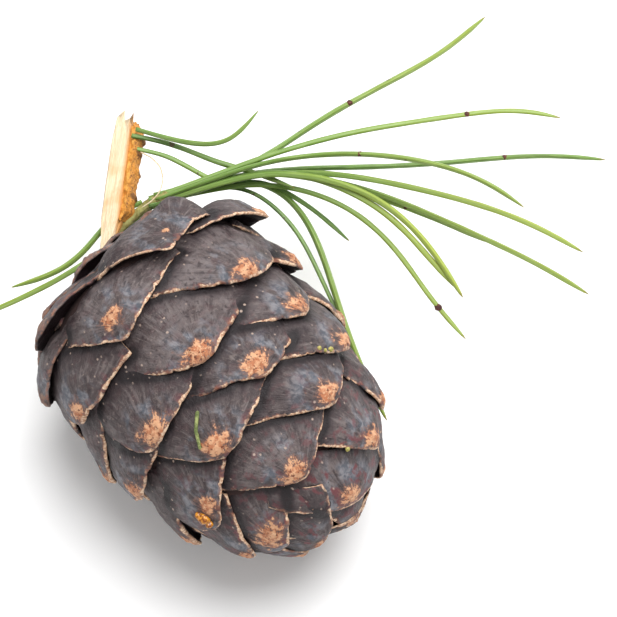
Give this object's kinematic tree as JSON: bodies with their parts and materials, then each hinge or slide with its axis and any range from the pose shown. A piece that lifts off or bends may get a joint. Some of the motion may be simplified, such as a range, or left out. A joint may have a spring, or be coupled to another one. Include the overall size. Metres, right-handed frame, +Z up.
{
  "type": "pine cone",
  "caption": "Closed egg-shaped pine cone with overlapping scales, lying on its side with a torn twig stub and a fan of needles.",
  "frame": {"origin": "middle of the small flat spot that the cone rests on, at floor level", "axes": "+Z up; the cone's tip points towards +X and -Y, a little down; the needles fan out towards +X"},
  "size_m": [0.1304, 0.1093, 0.0551],
  "materials": {
    "cone_scales": "dull",
    "torn_wood": "raw",
    "twig_bark": "rough",
    "needles": "satin"
  },
  "bodies": {
    "root": {"cone": "cone_scales", "twig_wood": "torn_wood", "twig_bark": "twig_bark", "needles_right": "needles", "needles_left": "needles", "needle_bent": "needles"}
  },
  "joints": []
}
